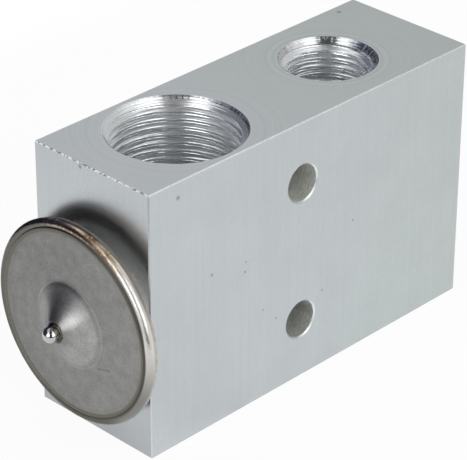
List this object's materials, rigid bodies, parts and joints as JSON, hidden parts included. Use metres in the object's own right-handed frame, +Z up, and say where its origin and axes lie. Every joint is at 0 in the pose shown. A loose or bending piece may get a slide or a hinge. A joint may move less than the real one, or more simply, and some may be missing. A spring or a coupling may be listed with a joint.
{
  "type": "expansion valve",
  "caption": "Block-type refrigerant expansion valve with threaded ports above and below, cross holes for bolts, a welded power head at one end and a set screw at the other.",
  "frame": {"origin": "bottom face of the block, midway across its width and under the line of the cross holes", "axes": "+X along the valve axis from the power head to the adjusting screw, +Z up out of the liquid inlet and suction outlet, +Y along the cross holes"},
  "size_m": [0.0901, 0.0372, 0.0508],
  "materials": {
    "block_aluminium": "fine machined",
    "head_steel": "turned stainless",
    "cover_steel": "stamped, matte",
    "rim_weld_steel": "fused bead, lightly straw tinted",
    "weld_steel": "weld collar",
    "ball_steel": "polished ball",
    "spring_steel": "spring sheet and wire",
    "rod_aluminium": "drawn rod",
    "pad_brass": "turned",
    "screw_brass": "turned",
    "seal_rubber": "black seal"
  },
  "bodies": {
    "block": {"valve_block": "block_aluminium", "head_base": "head_steel", "diaphragm": "spring_steel", "head_cover": "cover_steel", "rim_weld": "rim_weld_steel", "charge_ball": "ball_steel", "ball_weld": "weld_steel", "head_seal": "seal_rubber", "rod_seal": "seal_rubber", "seal_washer": "head_steel", "seal_retainer": "spring_steel"},
    "stem": {"diaphragm_pad": "pad_brass", "sensing_rod": "rod_aluminium", "push_rod": "head_steel", "valve_ball": "ball_steel", "ball_carrier": "pad_brass", "damping_spring": "spring_steel"},
    "adjuster_ring": {"superheat_spring": "spring_steel", "adjuster_seal": "seal_rubber"},
    "adjuster": {"adjusting_screw": "screw_brass"}
  },
  "joints": [
    {"name": "stem_slide", "type": "slide", "parent": "block", "child": "stem", "axis": [1, 0, 0], "range_m": [0, 0.0008], "stiffness_N_per_m": 5300, "deforming": ["superheat_spring", "diaphragm"]},
    {"name": "adjust_travel", "type": "slide", "parent": "block", "child": "adjuster_ring", "axis": [1, 0, 0], "range_m": [-0.001, 0.001], "deforming": ["superheat_spring"]},
    {"name": "adjust_turn", "type": "hinge", "parent": "adjuster_ring", "child": "adjuster", "pos_m": [0, 0, 0.02315], "axis": [1, 0, 0], "range_deg": [-360, 360]}
  ],
  "couplings": [
    {"joint": "adjust_turn", "follows": "adjust_travel", "rad_per_m": 6283.2}
  ]
}
